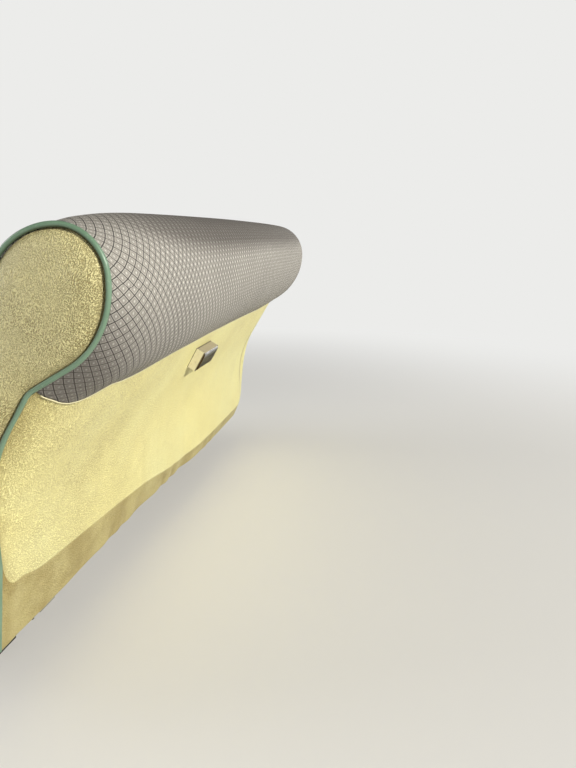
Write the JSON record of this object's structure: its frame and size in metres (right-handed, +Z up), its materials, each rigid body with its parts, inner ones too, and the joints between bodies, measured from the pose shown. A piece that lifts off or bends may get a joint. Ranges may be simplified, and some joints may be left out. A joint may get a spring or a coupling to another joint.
{
  "type": "car front bench seat",
  "caption": "Full-width front bench seat of a 1950s saloon car, with a rolled cloth backrest, vinyl back panel, tip-out ashtray, sprung cushion and floor runners.",
  "frame": {"origin": "centre of the base of the bounding box, on the floor under the seat", "axes": "+Z up, +X to the car's left across the bench, -Y towards the front of the car, the way the seat faces"},
  "size_m": [1.276, 0.778, 0.754],
  "materials": {
    "cloth": "woven cloth with a dark diamond lattice and a pale dot in each diamond",
    "vinyl": "satin cream vinyl with a fine pebble grain",
    "piping": "pale sage green vinyl piping, glossy",
    "frame_paint": "satin black paint",
    "spring_steel": "oiled spring steel",
    "zinc_steel": "zinc plated",
    "chrome": "polished chrome plate",
    "ashtray_metal": "satin steel brushed along its height",
    "knob": "glossy black plastic"
  },
  "bodies": {
    "rails": {"rail_left": "zinc_steel", "rail_right": "zinc_steel", "foot_front_left": "frame_paint", "foot_front_right": "frame_paint", "foot_rear_left": "frame_paint", "foot_rear_right": "frame_paint"},
    "seat": {"roll": "cloth", "squab": "cloth", "back_panel": "vinyl", "end_cap_left": "vinyl", "end_cap_right": "vinyl", "back_piping_left": "piping", "back_piping_right": "piping", "cushion": "cloth", "cushion_facing": "vinyl", "cushion_piping": "piping", "frame_front": "frame_paint", "frame_rear": "frame_paint", "frame_left": "frame_paint", "frame_middle": "frame_paint", "frame_right": "frame_paint", "springs": "spring_steel", "slider_left": "frame_paint", "slider_right": "frame_paint", "back_bracket_left": "frame_paint", "back_bracket_middle": "frame_paint", "back_bracket_right": "frame_paint", "release_bar": "zinc_steel", "latch_left": "zinc_steel", "latch_right": "zinc_steel", "release_lever": "chrome", "lever_knob": "knob", "ashtray_case": "ashtray_metal"},
    "ashtray_bin": {"ashtray_bin": "chrome"}
  },
  "joints": [
    {"name": "seat_slide", "type": "slide", "parent": "rails", "child": "seat", "axis": [0, -1, 0], "range_m": [-0.06, 0.06]},
    {"name": "ashtray_tip", "type": "hinge", "parent": "seat", "child": "ashtray_bin", "pos_m": [0, 0.23312, 0.43242], "axis": [-1, 0, 0], "range_deg": [0, 40]}
  ]
}
